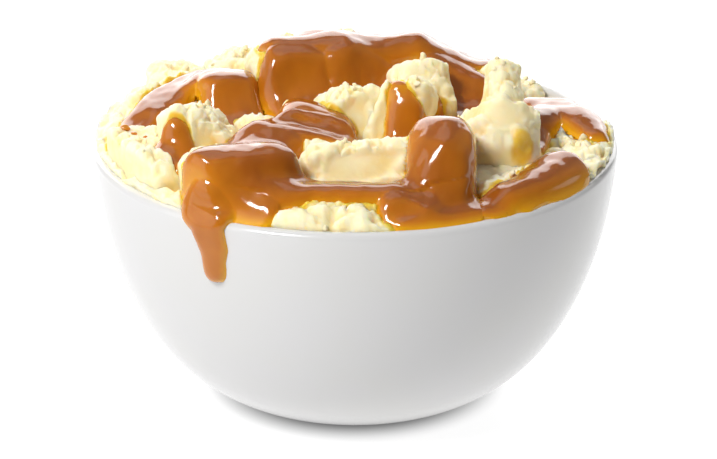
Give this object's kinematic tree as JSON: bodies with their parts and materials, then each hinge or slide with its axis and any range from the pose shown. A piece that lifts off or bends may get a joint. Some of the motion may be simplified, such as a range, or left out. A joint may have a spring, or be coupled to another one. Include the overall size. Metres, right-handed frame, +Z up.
{
  "type": "bowl of mashed potato with gravy",
  "caption": "Round white bowl heaped with torn lumps of mashed potato under brown gravy, one run of it dripping over the rim. A food side dish.",
  "frame": {"origin": "middle of the bowl's foot, on the surface that it stands on", "axes": "+Z up; -Y towards the side with the most gravy, with the drip over the rim to its left; +X to the right seen from there"},
  "size_m": [0.115, 0.115, 0.0783],
  "materials": {
    "glazed_china": "gloss",
    "mashed_potato": "matte",
    "brown_gravy": "gloss"
  },
  "bodies": {
    "root": {"bowl": "glazed_china", "mash_bed": "mashed_potato", "lump_front_left": "mashed_potato", "lump_column": "mashed_potato", "lump_centre": "mashed_potato", "lump_mid": "mashed_potato", "lump_tall_top": "mashed_potato", "lump_tall_base": "mashed_potato", "lump_left_mid": "mashed_potato", "lump_wedge": "mashed_potato", "lump_slab": "mashed_potato", "lump_arch_front": "mashed_potato", "lump_arch_back": "mashed_potato", "lump_crest_left": "mashed_potato", "lump_crest_mid": "mashed_potato", "lump_crest_right": "mashed_potato", "lump_left_front": "mashed_potato", "lump_left_shelf": "mashed_potato", "lump_left_rim": "mashed_potato", "lump_back_left": "mashed_potato", "lump_back_left_inner": "mashed_potato", "lump_front_bank": "mashed_potato", "lump_right_bank": "mashed_potato", "lump_right_rim": "mashed_potato", "lump_right_back": "mashed_potato", "lump_rear_left": "mashed_potato", "lump_rear_right": "mashed_potato", "lump_rear_rim": "mashed_potato", "lump_rear_far_left": "mashed_potato", "lump_rear_far_mid": "mashed_potato", "lump_rear_far_right": "mashed_potato", "lump_hollow": "mashed_potato", "lump_left_slope": "mashed_potato", "gravy_front": "brown_gravy", "gravy_back": "brown_gravy", "gravy_wedge": "brown_gravy", "gravy_left": "brown_gravy", "gravy_patch": "brown_gravy", "gravy_right": "brown_gravy", "gravy_right_back": "brown_gravy", "gravy_rear": "brown_gravy"}
  },
  "joints": []
}
